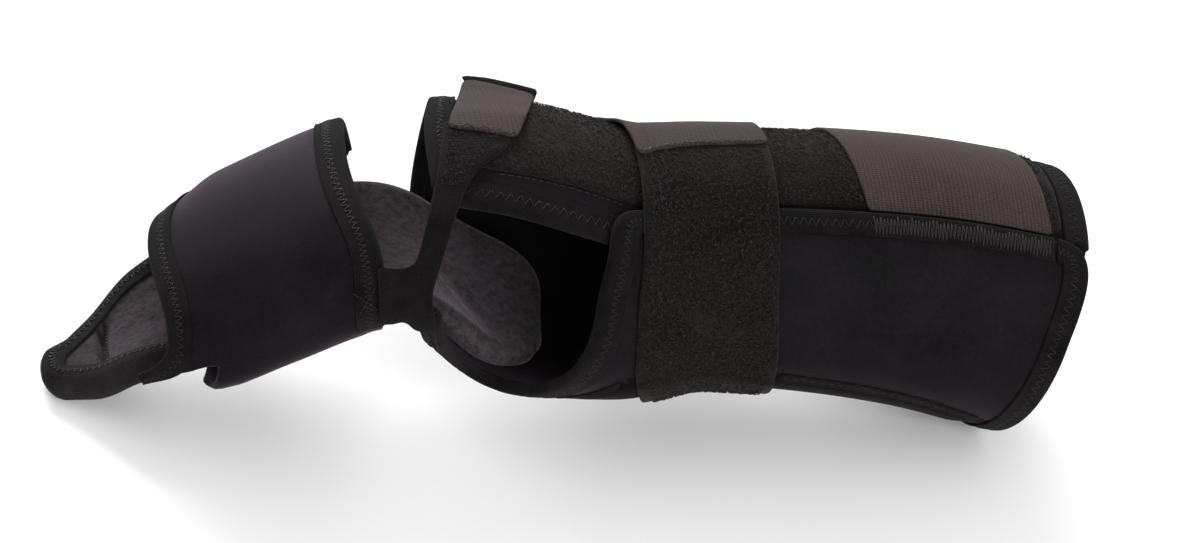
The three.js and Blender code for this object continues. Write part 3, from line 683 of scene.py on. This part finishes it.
def hook_material(name, dark, light):
    n = Nodes(name)
    flat, solid = n.flat(), n.solid()
    rib = n.wave(flat, 300, "X", 0.8)
    weft = n.wave(flat, 420, "Y", 1.2)
    weave = n.math("MULTIPLY", rib, weft)
    cloud = n.noise(solid, 70, 4)
    fleck = n.noise(solid, 1100, 2)
    worn = n.math("MULTIPLY", n.math("ADD", cloud, fleck), 0.35)
    mix = n.math("ADD", n.math("MULTIPLY", weave, 0.45), worn)
    n.link(n.ramp(mix, 0.2, 0.8, dark, light), "Base Color")
    n.link(n.range(cloud, 0.55, 0.75), "Roughness")
    n.bump(n.math("ADD", weave, n.math("MULTIPLY", fleck, 0.5)), 0.2)
    n.sheen(0.05, 0.5, 0.03, (1, 0.75, 0.68))
    return n.material


def lining_material(name, dark, light):
    n = Nodes(name)
    solid = n.solid()
    felt = n.noise(solid, 520, 4, 0.65)
    cloud = n.noise(solid, 60)
    mix = n.math("MULTIPLY", felt, n.range(cloud, 0.8, 1.2))
    n.link(n.ramp(mix, 0.3, 0.75, dark, light), "Base Color")
    n.link(n.range(felt, 0.75, 0.95), "Roughness")
    n.bump(felt, 0.3)
    n.sheen(0.10, 0.4, 0.02, (1, 0.78, 0.9))
    return n.material


def thread_material(name, dark, light):
    n = Nodes(name)
    solid = n.solid()
    twist = n.wave(solid, 900, "DIAGONAL", 0.5)
    mix = n.math("MULTIPLY", twist, n.noise(solid, 250))
    n.link(n.ramp(mix, 0.05, 0.6, dark, light), "Base Color")
    n.link(n.range(twist, 0.4, 0.65), "Roughness")
    n.bump(twist, 0.06)
    n.constants(Specular_IOR_Level=0.2)
    return n.material


# The cloths and threads, each with its darkest and lightest colour
NEOPRENE = neoprene_material("neoprene", (0.0034, 0.0031, 0.0034), (0.0084, 0.0076, 0.0085), 0.12)
# Darker cloth with little sheen for the palm side: painted shade
PALM_SHADE_CLOTH = neoprene_material("palm_painted_shade", (0.0020, 0.0018, 0.0020), (0.0050, 0.0045, 0.0049), 0.02)
TAPE_CLOTH = tape_material("tape", (0.0024, 0.0021, 0.0023), (0.0105, 0.0091, 0.0097))
RIM_CLOTH = tape_material("rim_tape", (0.0050, 0.0045, 0.0049), (0.0225, 0.0198, 0.0212))
PILE_CLOTH = pile_material("pile", (0.0021, 0.0017, 0.0017), (0.0182, 0.0141, 0.0142))
YARN = yarn_material("pile_yarn", (0.0024, 0.0019, 0.0020), (0.0300, 0.0234, 0.0236))
HOOK_CLOTH = hook_material("hook", (0.0120, 0.0090, 0.0082), (0.0490, 0.0372, 0.0340))
LINING = lining_material("lining", (0.0122, 0.0100, 0.0113), (0.0470, 0.0376, 0.0425))
BLACK_THREAD = thread_material("black_thread", (0.0018, 0.0016, 0.0018), (0.0098, 0.0087, 0.0094))
GREY_THREAD = thread_material("grey_thread", (0.0038, 0.0031, 0.0029), (0.0185, 0.0150, 0.0139))
BROWN_THREAD = thread_material("brown_thread", (0.010, 0.008, 0.007), (0.046, 0.037, 0.034))


# Hides the solids that a piece replaces, and gives the piece back
def keeps(piece, slot, *nodes):
    if nodes:
        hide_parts(*nodes)
    return piece


# Body panel with its flap, pocket and tapes
pocket_seam = level(POCKET_SEAM)


# How far a spot is past the pocket's seam, on either side of the palm, in degrees
def past_seam(at, turn):
    return 180 - np.abs(np.mod(turn, 360) - 180) - pocket_seam(at)


# Lift of the pocket's panel
def pocket(at, turn):
    ends = step_up(at, *POCKET_ENDS["start"]) * (1 - step_up(at, *POCKET_ENDS["stop"]))
    return POCKET_RISE * step_up(past_seam(at, turn), *POCKET_SLOPE) * ends


# Lift of the flap over the body's own back edge
def flap(at, turn):
    return FLAP_LIFT * (1 - step_up(turn, *FLAP_SLOPE))


body_lay = laid(lambda at, turn: flap(at, turn) + pocket(at, turn) + waves(at, turn, WAVE))
body_edge = outline(BODY_EDGE)
body = cloth("body_wrap_cloth", body_edge, body_lay, 0, WALL, NEOPRENE, squeeze=SQUEEZE)
keeps(body, "neoprene", "body_wrap")


# The palm side's outer face gets a darker cloth with little sheen: painted shade for the underside, which
# faces away from the light
def paint_palm_shade(piece):
    mesh = piece.data
    mesh.materials.append(PALM_SHADE_CLOTH)
    flat = np.empty(len(mesh.loops) * 2, np.float32)
    mesh.uv_layers["flat"].data.foreach_get("uv", flat)
    flat = flat.reshape(-1, 2) / MM
    for face in list(mesh.polygons)[:len(mesh.polygons) // 2]:
        at, across = flat[list(face.loop_indices)].mean(0)
        face.material_index = int(past_seam(at, across / MM_PER_DEGREE) > PALM_SHADE_EDGE)


paint_palm_shade(body)


def at_flap_corner(spots):
    return (turn_of(spots) < FLAP_CORNER[1]) & (spots[:, 0] > FLAP_CORNER[0])


end_path = edge_run(body_edge, at_flap_corner, lambda s: turn_of(s) > END_TAPE_STOP)
side_path = edge_run(
    body_edge, lambda s: (turn_of(s) > END_TAPE_STOP) & (s[:, 0] < BACK_TAPE_START), at_flap_corner)
end_tape = Tape("end_tape", end_path, body_lay, 0, WALL, TAPE_CLOTH)
side_tape = Tape("side_tape", side_path, body_lay, 0, WALL, TAPE_CLOTH)
keeps(end_tape.piece, "tape", "end_binding")
keeps(side_tape.piece, "tape", "edge_binding")


# Fine zigzag along the middle of a tape
def sew_tape(name, tape):
    lines = tape.face(TAPE_SEAM["near"]), tape.face(TAPE_SEAM["far"]), tape.out()
    lines = [finer(line, TAPE_SEAM["step"]) for line in lines]
    return keeps(zigzag(name, *lines, BLACK_THREAD, pitch=1, radius=TAPE_SEAM["radius"]), "tape")


body_threads = [sew_tape("end_threads", end_tape), sew_tape("side_threads", side_tape)]


# The pocket's folded edge along its seam, sewn down
def pocket_hem(name, start, stop, far_side):
    half, thick = POCKET_HEM["half_turn"], POCKET_HEM["thick"]
    stations = [start] + [row[0] for row in POCKET_SEAM if start < row[0] < stop] + [stop]
    middle = [360 - pocket_seam(at) if far_side else pocket_seam(at) for at in stations]
    rows = [(at, turn - half, 1) for at, turn in zip(stations, middle)]
    rows += [(at, turn + half, 1) for at, turn in zip(stations, middle)][::-1]
    face = WALL + GAP + thick
    hem = cloth(name, outline(rows), body_lay, WALL + GAP, face, TAPE_CLOTH, spacing=1.2, soft_edge=0.25)
    along = np.arange(start + 1, stop - 1, SEAM_STEP)
    turn = 360 - pocket_seam(along) if far_side else pocket_seam(along)
    seam = np.column_stack([along, turn * MM_PER_DEGREE])
    line, out = laid_line(body_lay, seam, face)
    return [keeps(hem, "tape"), keeps(running(name + "_threads", line, out, BLACK_THREAD), "tape")]


for side in ("near", "far"):
    for number, (start, stop) in enumerate(POCKET_HEM[side], 1):
        body_threads += pocket_hem(f"pocket_{side}_hem_{number}", start, stop, side == "far")

# Pile panel, and the seam beside it on the body's back edge
loop_lay = laid(lambda at, turn: WALL + GAP + waves(at, turn, WAVE))
loop_edge = outline(LOOP_EDGE)
loop = cloth("loop_panel_cloth", loop_edge, loop_lay, 0, PILE, PILE_CLOTH, soft_edge=0.6)
keeps(loop, "pile", "loop_panel")
loop_pile = keeps(pile("loop_panel_pile", loop_edge, loop_lay, PILE, LOOP_COUNT["panel"], YARN), "pile")
panel_at = np.arange(*PANEL_RUN, SEAM_STEP)
panel_seam = np.column_stack([panel_at, level(PANEL_SEAM)(panel_at) * MM_PER_DEGREE])
panel_seam = panel_seam + (0, 360 * MM_PER_DEGREE)
panel_line = laid_line(body_lay, panel_seam, WALL)
loop_threads = running("loop_panel_threads", *panel_line, GREY_THREAD, pitch=2, share=0.9, radius=0.2)
keeps(loop_threads, "tape")


# A strap or tab whose lift varies round the limb, and is changed where it passes over something
def strap(name, edge, lifts, thickness, material, slot, node, over=None):
    lift = level(lifts)

    def extra(at, turn):
        base = lift(turn)
        return (over(at, turn, base) if over else base) + waves(at, turn, WAVE)

    lay = laid(extra)
    shape = outline(edge, step=0.9)
    piece = cloth(name, shape, lay, 0, thickness, material, spacing=1.8, soft_edge=0.45 * thickness)
    return keeps(piece, slot, node), lay, shape


def over_pocket(at, turn, lift):
    return lift + pocket(at, turn)


# The web strap's end lies on the cuff's tape
def over_cuff(at, turn, lift):
    beside = step_up(at, ON_CUFF["near"], ON_CUFF["far"])
    share = (1 - beside) * step_up(turn, ON_CUFF["start"], ON_CUFF["stop"])
    return lift + np.maximum(ON_CUFF["lift"] - lift, 0) * share


forearm_tab, _, _ = strap(
    "forearm_tab_cloth", FOREARM_TAB_EDGE, FOREARM_TAB_LIFT, HOOK, HOOK_CLOTH, "hook", "forearm_tab")
wrist_strap, wrist_lay, wrist_edge = strap(
    "wrist_strap_cloth", WRIST_STRAP_EDGE, WRIST_STRAP_LIFT, WEBBING, PILE_CLOTH, "pile", "wrist_strap",
    over_pocket)
wrist_tab, wrist_tab_lay, _ = strap(
    "wrist_tab_cloth", WRIST_TAB_EDGE, WRIST_TAB_LIFT, HOOK, HOOK_CLOTH, "hook", "wrist_tab")
web_strap, web_lay, web_edge = strap(
    "web_strap_cloth", WEB_STRAP_EDGE, WEB_STRAP_LIFT, WEBBING, TAPE_CLOTH, "pile", "web_strap", over_cuff)
knuckle_tab, knuckle_lay, _ = strap(
    "knuckle_tab_cloth", KNUCKLE_TAB_EDGE, KNUCKLE_TAB_LIFT, HOOK, HOOK_CLOTH, "hook", "knuckle_tab")


# The dark hooks under the knuckle tab, which curl up past its far end
def knuckle_curl(spots, lift):
    (far_at, far_turn, _), (near_at, near_turn, _) = KNUCKLE_TAB_EDGE[2:]
    end = np.interp(spots[..., 0], (near_at, far_at), (near_turn, far_turn))
    past = end - spots[..., 1] / MM_PER_DEGREE
    curl = KNUCKLE_CURL["rise"] * step_up(past, KNUCKLE_CURL["start"], KNUCKLE_CURL["stop"])
    return knuckle_lay(spots, lift + curl)


hook_edge = outline(KNUCKLE_HOOK_EDGE, step=0.9)
knuckle_hook = cloth("knuckle_tab_hook", hook_edge, knuckle_curl, -KNUCKLE_HOOK_DEPTH, -GAP, TAPE_CLOTH,
                     spacing=0.9, soft_edge=0.25)
keeps(knuckle_hook, "hook")
wrist_pile = keeps(pile("wrist_strap_pile", wrist_edge, wrist_lay, WEBBING, LOOP_COUNT["wrist"], YARN,
                        keep=lambda s: turn_of(s) > STRAP_PILE_START, margin=2.4), "pile")
web_pile = keeps(pile(
    "web_strap_pile", web_edge, web_lay, WEBBING, LOOP_COUNT["web"], YARN,
    keep=lambda s: (turn_of(s) < WEB_PILE_STOP) & (turn_of(s) > STRAP_PILE_START)), "pile")


# Zigzag along a line across a hook tab
def tab_zigzag(name, lay, first, last, depth):
    ends = [(at, turn * MM_PER_DEGREE) for at, turn in (first, last)]
    count = int(math.dist(*ends) / TAB_STEP)
    line = np.linspace(*ends, count)
    near, out = laid_line(lay, line, HOOK + 0.06)
    far, _ = laid_line(lay, line + (0, depth), HOOK + 0.06)
    return keeps(zigzag(name, near, far, out, BROWN_THREAD), "tape")


# A dense zigzag along the flap's tape where the forearm tab is sewn to it
side_at = side_tape.path[:, 0]
sewn = (side_at > TAB_SEAM["run"][0]) & (side_at < TAB_SEAM["run"][1])
sewn &= turn_of(side_tape.path) < TAB_SEAM["before"]
sewn_lines = side_tape.face(TAB_SEAM["near"]), side_tape.face(TAB_SEAM["far"]), side_tape.out()
sewn_lines = [finer(line[sewn], TAB_SEAM["step"]) for line in sewn_lines]
forearm_threads = zigzag("forearm_tab_threads", *sewn_lines, GREY_THREAD,
                         pitch=1, radius=TAB_SEAM["radius"], loose=TAB_SEAM["loose"])
tab_threads = [
    keeps(forearm_threads, "tape"),
    tab_zigzag("wrist_tab_threads", wrist_tab_lay, *WRIST_TAB_SEAM),
    tab_zigzag("knuckle_tab_threads", knuckle_lay, *KNUCKLE_TAB_SEAM),
]

# Finger cuff and its tapes
hang = level(CUFF_HANG)


# The cuff hangs off the fingers below, laps over itself, bulges on top and is drawn in at its tip
def cuff_lift(at, turn):
    under = step_up(turn, *CUFF_HANG_TURN)
    lap = step_up(turn, *CUFF_LAP_TURN)
    along = np.clip((at - CUFF_BULGE["start"]) / CUFF_BULGE["length"], 0, 1)
    crown = CUFF_BULGE["rise"] * np.sin(along * math.pi) * np.cos(np.radians(np.clip(turn, -90, 90)))
    tip = 1 - step_up(at, CUFF_DIP["near"], CUFF_DIP["far"])
    dip = CUFF_DIP["depth"] * tip * step_up(-turn, CUFF_DIP["start"], CUFF_DIP["stop"])
    lobe = 1 - step_up(at, CUFF_TUCK["near"], CUFF_TUCK["far"])
    tuck = CUFF_TUCK["depth"] * lobe * step_up(turn, CUFF_TUCK["start"], CUFF_TUCK["stop"])
    below = hang(at) * under * (1 - lap) + (WALL + GAP) * lap
    return below + crown - dip - tuck + waves(at, turn, CUFF_WAVE)


cuff_lay = laid(cuff_lift)
cuff_edge = outline(CUFF_EDGE)
cuff = cloth("finger_cuff_cloth", cuff_edge, cuff_lay, 0, WALL, NEOPRENE, squeeze=SQUEEZE)
keeps(cuff, "neoprene", "finger_cuff")
tip_path = edge_run(
    cuff_edge, lambda s: (s[:, 0] < TIP_TAPE["before"]) & (turn_of(s) < TIP_TAPE["start"]),
    lambda s: turn_of(s) < TIP_TAPE["stop"])
knuckle_path = edge_run(
    cuff_edge, lambda s: (s[:, 0] > KNUCKLE_TAPE["after"]) & (turn_of(s) > KNUCKLE_TAPE["start"]),
    lambda s: turn_of(s) > KNUCKLE_TAPE["stop"])
tip_tape = Tape("cuff_tip_tape", tip_path, cuff_lay, 0, WALL, TAPE_CLOTH, taper=16)
knuckle_tape = Tape("cuff_knuckle_tape", knuckle_path, cuff_lay, 0, WALL, TAPE_CLOTH)
keeps(tip_tape.piece, "tape", "cuff_binding_tip")
keeps(knuckle_tape.piece, "tape", "cuff_binding_knuckle")
cuff_threads = [sew_tape("cuff_tip_threads", tip_tape), sew_tape("cuff_knuckle_threads", knuckle_tape)]
cross = np.array(CROSS_SEAM) * (1, MM_PER_DEGREE)
cross = np.stack([np.linspace(start, stop, CROSS_POINTS) for start, stop in cross])
cross_line, cross_out = laid_line(cuff_lay, cross, WALL + GAP + TAPE + 0.1)
cross_threads = threads(
    "cuff_cross_threads", cross_line[:, :-1].reshape(-1, 3), cross_line[:, 1:].reshape(-1, 3),
    cross_out[:, :-1].reshape(-1, 3), BLACK_THREAD, radius=0.18)
cuff_threads.append(keeps(cross_threads, "tape"))


# Padded pan and its tape
def pan_lay(spots, lift):
    at, across = spots[..., 0], spots[..., 1]
    turn = 180 + np.degrees(np.arcsin(np.clip(across / limb["half_width"](at), -1, 1)))
    ease = step_up(at, PAN_UNDER["start"], PAN_UNDER["stop"])
    return place(at, turn, PAN_UNDER["tip"] * (1 - ease) + PAN_UNDER["palm"] * ease + lift, PAN_STACK)


sides = [[(at, middle + side * half, PAN_ROUND) for at, middle, half in PAN] for side in (-1, 1)]
pan_edge = outline(sides[0] + sides[1][::-1], 1)
pan = cloth("finger_pan_pad", pan_edge, pan_lay, PAN_TOP, 0, LINING, spacing=1.7, soft_edge=PAD_SOFT_EDGE)
keeps(pan, "padding", "finger_pan")


def points_of(mesh):
    flat = np.empty(len(mesh.vertices) * 3)
    mesh.vertices.foreach_get("co", flat)
    return flat.reshape(-1, 3)


def finder_of(spots):
    finder = KDTree(len(spots))
    for i, spot in enumerate(spots):
        finder.insert(spot, i)
    finder.balance()
    return finder


# The movement of a mesh's points when pressure fills it and a group of them is held
def filled(copy, held):
    start = points_of(copy.data)
    group = copy.vertex_groups.new(name="sewn")
    group.add(np.flatnonzero(held).tolist(), 1.0, "REPLACE")
    soft = copy.modifiers.new("filling", "CLOTH").settings
    soft.quality = FILLING["quality"]
    soft.use_pressure = True
    soft.uniform_pressure_force = FILLING["pressure"]
    soft.tension_stiffness = soft.compression_stiffness = FILLING["stretch"]
    soft.shear_stiffness, soft.bending_stiffness = FILLING["shear"], FILLING["bend"]
    soft.vertex_group_mass = "sewn"
    soft.effector_weights.gravity = 0
    for number in range(1, FILLING["frames"] + 1):
        bpy.context.scene.frame_set(number)
    ended = copy.evaluated_get(bpy.context.evaluated_depsgraph_get()).data
    return points_of(ended) - start


# The pad filled out by pressure: a coarse copy is simulated, and its movement carried to the pad
def swell(piece):
    mesh = piece.data
    points = points_of(mesh)
    axes = [np.arange(*PAN_GRID[key], PAN_GRID["step"]) for key in ("at", "across")]
    grid = np.stack(np.meshgrid(*axes, indexing="ij"), -1).reshape(-1, 2)
    held, far = within(grid, pan_edge)
    grid, far = grid[held], far[held]
    finder = finder_of(np.vstack([pan_lay(grid, np.full(len(grid), lift)) * MM for lift in (-PAD, 0)]))

    # Which points are on the under face, and the spot of the pattern at each
    def spots_of(places):
        nearest = np.array([finder.find(spot)[1] for spot in places])
        return nearest >= len(grid), nearest % len(grid)

    copy = add_object("pad_copy", mesh.copy())
    remesh = copy.modifiers.new("even", "REMESH")
    remesh.mode, remesh.voxel_size = "VOXEL", FILLING["voxel"] * MM
    even = bpy.data.meshes.new_from_object(copy.evaluated_get(bpy.context.evaluated_depsgraph_get()))
    copy.modifiers.clear()
    copy.data = even
    start = points_of(even)
    under, where = spots_of(start)
    taped = 1 - step_up(grid[:, 0], PAN_TAPE_END, PAN_TAPE_END + PAN_TAPE_FADE)
    at_edge = (far < PAD_HOLD[0] + PAD_HOLD[1] * taped)[where]
    moved = filled(copy, under | at_edge | (np.abs(grid[where, 0] - PAN_CREASE) < CREASE_HOLD))
    bpy.data.objects.remove(copy)
    bpy.context.scene.frame_set(1)

    mover = finder_of(start)
    change = np.empty_like(points)
    for i, spot in enumerate(points):
        near = mover.find_n(spot, 6)
        weights = np.array([1 / (gap + 0.001) ** 2 for _, _, gap in near])
        change[i] = (moved[[k for _, k, _ in near]] * weights[:, None]).sum(0) / weights.sum()
    under, where = spots_of(points)
    size = np.linalg.norm(change, axis=1, keepdims=True)
    edge_gap = (far - PAD_START[0] - PAD_START[1] * taped)[where]
    cap = PAN_SWELL * MM * step_up(edge_gap, 0, PAD_EASE)[:, None]
    change *= np.where(size > 0, cap * np.tanh(size / np.maximum(cap, 1e-9)) / np.maximum(size, 1e-9), 0)
    groove = CREASE_DEPTH * MM * np.exp(-((grid[where, 0] - PAN_CREASE) / CREASE_WIDTH) ** 2)
    change[:, 2] -= groove * step_up(edge_gap, 0, CREASE_EASE)
    change[under] = 0
    mesh.vertices.foreach_set("co", (points + change).ravel())
    mesh.update()


swell(pan)


# Thick black stitches set nearly end to end along the pad's crease: a sewn line that also darkens the crease
# as painted shade
def crease_shade_threads(piece):
    mesh = piece.data
    corners, faces = [v.co for v in mesh.vertices], [tuple(p.vertices) for p in mesh.polygons]
    tree = BVHTree.FromPolygons(corners, faces)
    at, middle, half = np.array(PAN).T
    reach = np.interp(PAN_CREASE, at, half) - TAPE_WIDTH
    across = np.arange(-reach, reach, CREASE_STEP) + np.interp(PAN_CREASE, at, middle)
    spots = np.column_stack([np.full(len(across), PAN_CREASE), across])
    above, below = (pan_lay(spots, np.full(len(spots), lift)) * MM for lift in (-2 * PAD, 0))
    down = unit(below - above)
    line = np.array([tuple(tree.ray_cast(Vector(a), Vector(d))[0]) for a, d in zip(above, down)]) / MM
    stitches = running("pan_crease_shade_threads", line, -down, BLACK_THREAD, pitch=2, share=0.98, radius=0.5)
    keeps(stitches, "padding")


crease_shade_threads(pan)
pan_path = edge_run(
    pan_edge, lambda s: (s[:, 1] > 0) & (s[:, 0] < PAN_TAPE_END),
    lambda s: (s[:, 1] < 0) & (s[:, 0] > PAN_TAPE_END))
pan_tape = Tape("pan_tape", pan_path, pan_lay, 0, PAN_TOP, RIM_CLOTH, squeeze=0.0, soft_edge=PAD_SOFT_EDGE)
keeps(pan_tape.piece, "tape", "pan_binding")
sew_tape("pan_threads", pan_tape)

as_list(tab_threads[:1])
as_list(tab_threads[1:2])

# Floor, light and camera
floor_mesh = bpy.data.meshes.new("floor")
floor_corners = [(x * FLOOR_REACH, y * FLOOR_REACH, 0) for x, y in ((-1, -1), (1, -1), (1, 1), (-1, 1))]
floor_mesh.from_pydata(floor_corners, [], [(0, 1, 2, 3)])
floor = add_object("floor", floor_mesh)
paper = Nodes("floor_paper")
grain = paper.noise(paper.solid(), 3)
paper.link(paper.ramp(grain, 0.3, 0.7, (0.86, 0.86, 0.86), (0.9, 0.9, 0.9)), "Base Color")
paper.constants(Roughness=0.9, Specular_IOR_Level=0.1)
floor_mesh.materials.append(paper.material)

world = bpy.data.worlds.new("studio")
world.use_nodes = True
sky = world.node_tree.nodes["Background"]
sky.inputs["Color"].default_value = (1, 1, 1, 1)
sky.inputs["Strength"].default_value = 0.8
bpy.context.scene.world = world


# A round lamp aimed at a point of the splint, with sizes in metres
def softbox(name, place_at, aim, size, power):
    light = bpy.data.lights.new(name, "AREA")
    light.shape, light.size, light.energy = "DISK", size, power
    lamp = add_object(name, light)
    lamp.location = place_at
    lamp.rotation_euler = (Vector(aim) - Vector(place_at)).to_track_quat("-Z", "Y").to_euler()


softbox("key", (-0.5, 3.2, 1.8), (0, 0, 0.04), 2.2, 190)
softbox("fill", (0.6, -3.0, 1.1), (0, 0, 0.04), 2.5, 110)

target = (np.array(AIM) - MID) * MM
azimuth, elevation, roll = (math.radians(a) for a in (AZIMUTH, ELEVATION, ROLL))
back = Vector((
    math.sin(azimuth) * math.cos(elevation), -math.cos(azimuth) * math.cos(elevation), math.sin(elevation)))
level_right = Vector((math.cos(azimuth), math.sin(azimuth), 0))
level_up = back.cross(level_right)
right = level_right * math.cos(roll) + level_up * math.sin(roll)
up = level_up * math.cos(roll) - level_right * math.sin(roll)
camera = add_object("camera", bpy.data.cameras.new("camera"))
camera.data.sensor_width = SENSOR_WIDTH
camera.data.lens = SENSOR_WIDTH * DISTANCE / (MM_PER_PIXEL * MM * PHOTO_WIDTH)
facing = Matrix((right, up, back)).transposed().to_4x4()
camera.matrix_world = Matrix.Translation(Vector(target) + back * DISTANCE) @ facing
bpy.context.scene.camera = camera
bpy.context.scene.view_settings.view_transform = "Standard"
